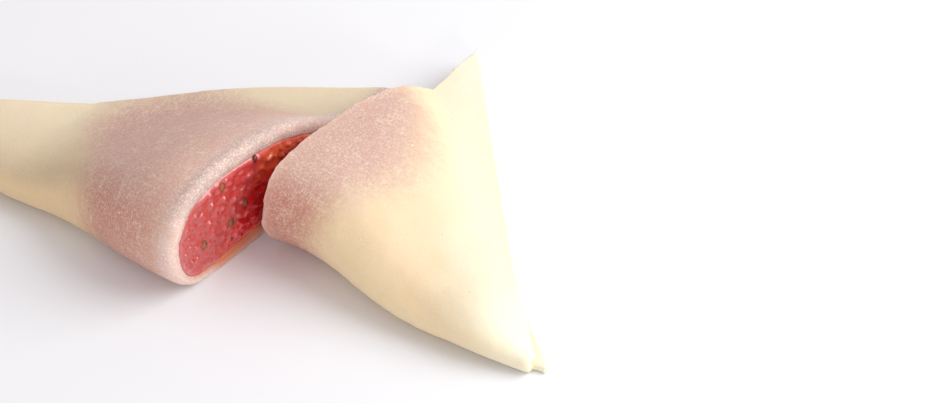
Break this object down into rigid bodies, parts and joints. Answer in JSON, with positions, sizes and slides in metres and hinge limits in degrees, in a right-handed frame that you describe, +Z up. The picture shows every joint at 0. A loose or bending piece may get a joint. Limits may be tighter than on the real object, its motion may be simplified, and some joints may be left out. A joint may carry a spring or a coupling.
{
  "type": "nama yatsuhashi",
  "caption": "Soft rice-dough sweet folded to a triangle round strawberry jam, cut through the middle with the cut faces showing.",
  "frame": {"origin": "on the table, under the middle of the box round both halves", "axes": "+X along the fold, +Y from the fold towards the point of the triangle, +Z up"},
  "size_m": [0.1056, 0.0694, 0.0193],
  "materials": {
    "rice_dough": "soft cooked rice dough, matte and faintly translucent, pale cream, pink where the filling shows through",
    "jam_filling": "wet glossy red strawberry jam with small golden seeds"
  },
  "bodies": {
    "root": {"left_dough": "rice_dough", "left_filling": "jam_filling", "right_dough": "rice_dough", "right_filling": "jam_filling"}
  },
  "joints": []
}
